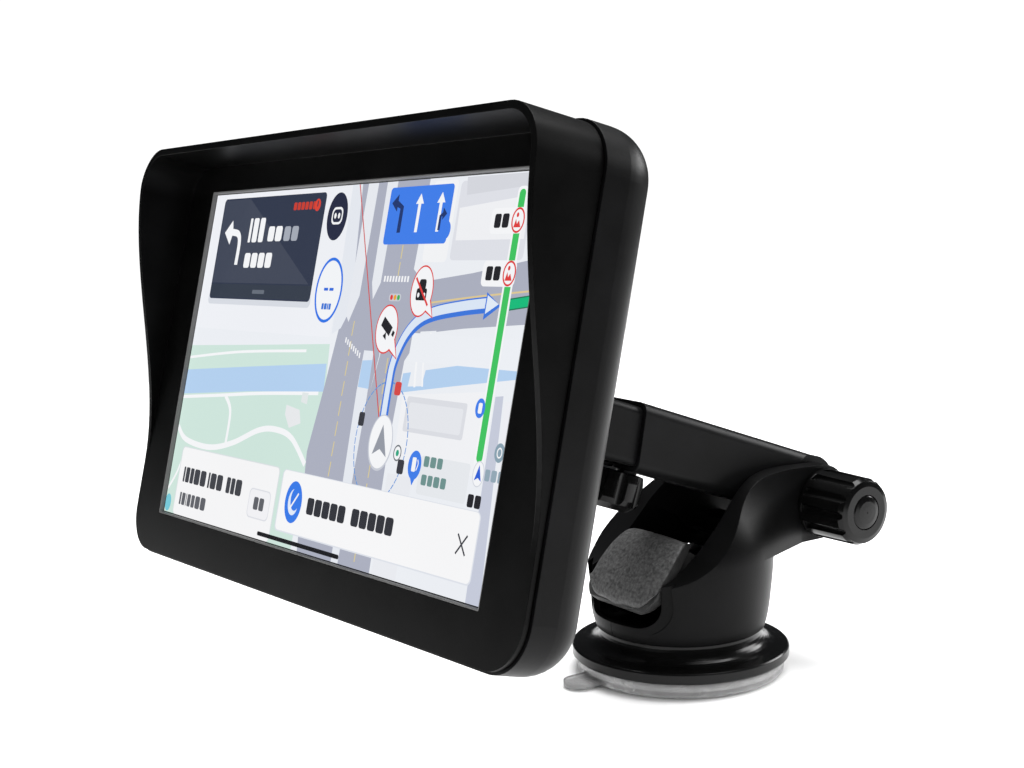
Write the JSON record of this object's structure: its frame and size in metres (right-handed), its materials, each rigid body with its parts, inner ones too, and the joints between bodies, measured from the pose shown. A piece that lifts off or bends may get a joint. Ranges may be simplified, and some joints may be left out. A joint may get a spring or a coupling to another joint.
{
  "type": "portable gps navigator",
  "caption": "Hooded touch-screen gps navigator on a ball joint, with a telescopic arm and a lever-locked suction mount that grips a windscreen or dashboard.",
  "frame": {"origin": "centre of the suction pad's underside", "axes": "+Z away from the gripped surface, -Y towards the driver, +X towards the arm's pivot knob, on the driver's right"},
  "size_m": [0.246, 0.2204, 0.1974],
  "materials": {
    "clear_gel": "clear soft gel",
    "gloss_black": "polished",
    "satin_black": "fine satin grain",
    "case_black": "satin",
    "cover_black": "smooth satin",
    "lever_grain": "coarse spark grain",
    "arm_black": "fine satin grain",
    "steel": "zinc plated",
    "spring_steel": "drawn wire",
    "brass": "turned",
    "liner_nylon": "natural nylon",
    "liner_rubber": "matt",
    "screen_glass": "lit picture behind glass",
    "panel": "glass cell",
    "light_guide": "clear acrylic",
    "foam": "closed cell foam",
    "board_green": "solder mask",
    "ceramic": "fired ceramic",
    "cell_foil": "laminated foil",
    "speaker_black": "coated paper cone",
    "port_black": "moulded"
  },
  "bodies": {
    "base": {"gel_pad": "clear_gel", "skirt_disc": "gloss_black", "skirt_screws": "steel", "housing_left": "satin_black", "housing_right": "satin_black", "housing_screws": "steel", "lever_pin": "steel", "pivot_bolt": "steel", "friction_washers": "liner_rubber"},
    "plunger": {"plunger": "steel", "return_spring": "spring_steel"},
    "lever": {"suction_lever": "lever_grain"},
    "pivot_knob": {"pivot_knob": "gloss_black", "knob_insert": "brass", "knob_cap": "gloss_black"},
    "outer_arm": {"outer_arm": "arm_black", "clamp_nut": "steel"},
    "lock_knob": {"arm_lock_knob": "gloss_black", "lock_stud": "steel"},
    "inner_arm": {"inner_arm": "arm_black"},
    "ring_nut": {"ring_nut": "satin_black"},
    "socket_liner": {"socket_liner": "liner_nylon"},
    "ball_liner": {"ball_liner": "liner_rubber"},
    "display": {"ball_plate": "satin_black", "plate_screws": "steel", "front_frame": "case_black", "rear_cover": "cover_black", "case_screws": "steel", "screen_gasket": "foam", "cover_glass": "screen_glass", "lcd_panel": "panel", "light_guide": "light_guide", "backlight_tray": "steel", "main_board": "board_green", "board_screws": "steel", "shield_can": "steel", "gps_antenna": "ceramic", "antenna_shelf": "board_green", "battery": "cell_foil", "speaker": "speaker_black", "power_inlet": "steel", "card_slot": "steel", "audio_jack": "port_black", "tact_switch": "port_black"},
    "power_button": {"power_button": "satin_black"}
  },
  "joints": [
    {"name": "lever_turn", "type": "hinge", "parent": "base", "child": "lever", "pos_m": [0, 0, 0.034], "axis": [-1, 0, 0], "range_deg": [0, 60]},
    {"name": "plunger_slide", "type": "slide", "parent": "base", "child": "plunger", "axis": [0, 0, 1], "range_m": [-0.002, 0], "deforming": ["return_spring"]},
    {"name": "arm_pivot", "type": "hinge", "parent": "base", "child": "outer_arm", "pos_m": [0, 0.049, 0.0563], "axis": [-1, 0, 0], "range_deg": [-12, 70]},
    {"name": "pivot_knob_turn", "type": "hinge", "parent": "base", "child": "pivot_knob", "pos_m": [0.0317, 0.049, 0.0563], "axis": [1, 0, 0], "range_deg": [0, 360]},
    {"name": "arm_slide", "type": "slide", "parent": "outer_arm", "child": "inner_arm", "axis": [0, -0.9417, 0.3364], "range_m": [-0.036, 0.01]},
    {"name": "lock_knob_turn", "type": "hinge", "parent": "outer_arm", "child": "lock_knob", "pos_m": [0, -0.02984, 0.06747], "axis": [0, -0.3364, -0.9417], "range_deg": [0, 360]},
    {"name": "ring_nut_turn", "type": "hinge", "parent": "inner_arm", "child": "ring_nut", "pos_m": [0, -0.09555, 0.1124], "axis": [0, -0.9417, 0.3364], "range_deg": [0, 360]},
    {"name": "ball_pan", "type": "hinge", "parent": "inner_arm", "child": "socket_liner", "pos_m": [0, -0.09555, 0.1124], "axis": [0, 0, 1], "range_deg": [-18, 18]},
    {"name": "ball_tilt", "type": "hinge", "parent": "socket_liner", "child": "ball_liner", "pos_m": [0, -0.09555, 0.1124], "axis": [-1, 0, 0], "range_deg": [-14, 22]},
    {"name": "ball_roll", "type": "hinge", "parent": "ball_liner", "child": "display", "pos_m": [0, -0.09555, 0.1124], "axis": [0, -0.9659, 0.2588], "range_deg": [-90, 90]},
    {"name": "power_button_press", "type": "slide", "parent": "display", "child": "power_button", "axis": [0.0523, -0.2585, -0.9646], "range_m": [0, 0.0004], "stiffness_N_per_m": 600}
  ],
  "couplings": [
    {"joint": "plunger_slide", "follows": "lever_turn", "m_per_rad": -0.0019099}
  ]
}
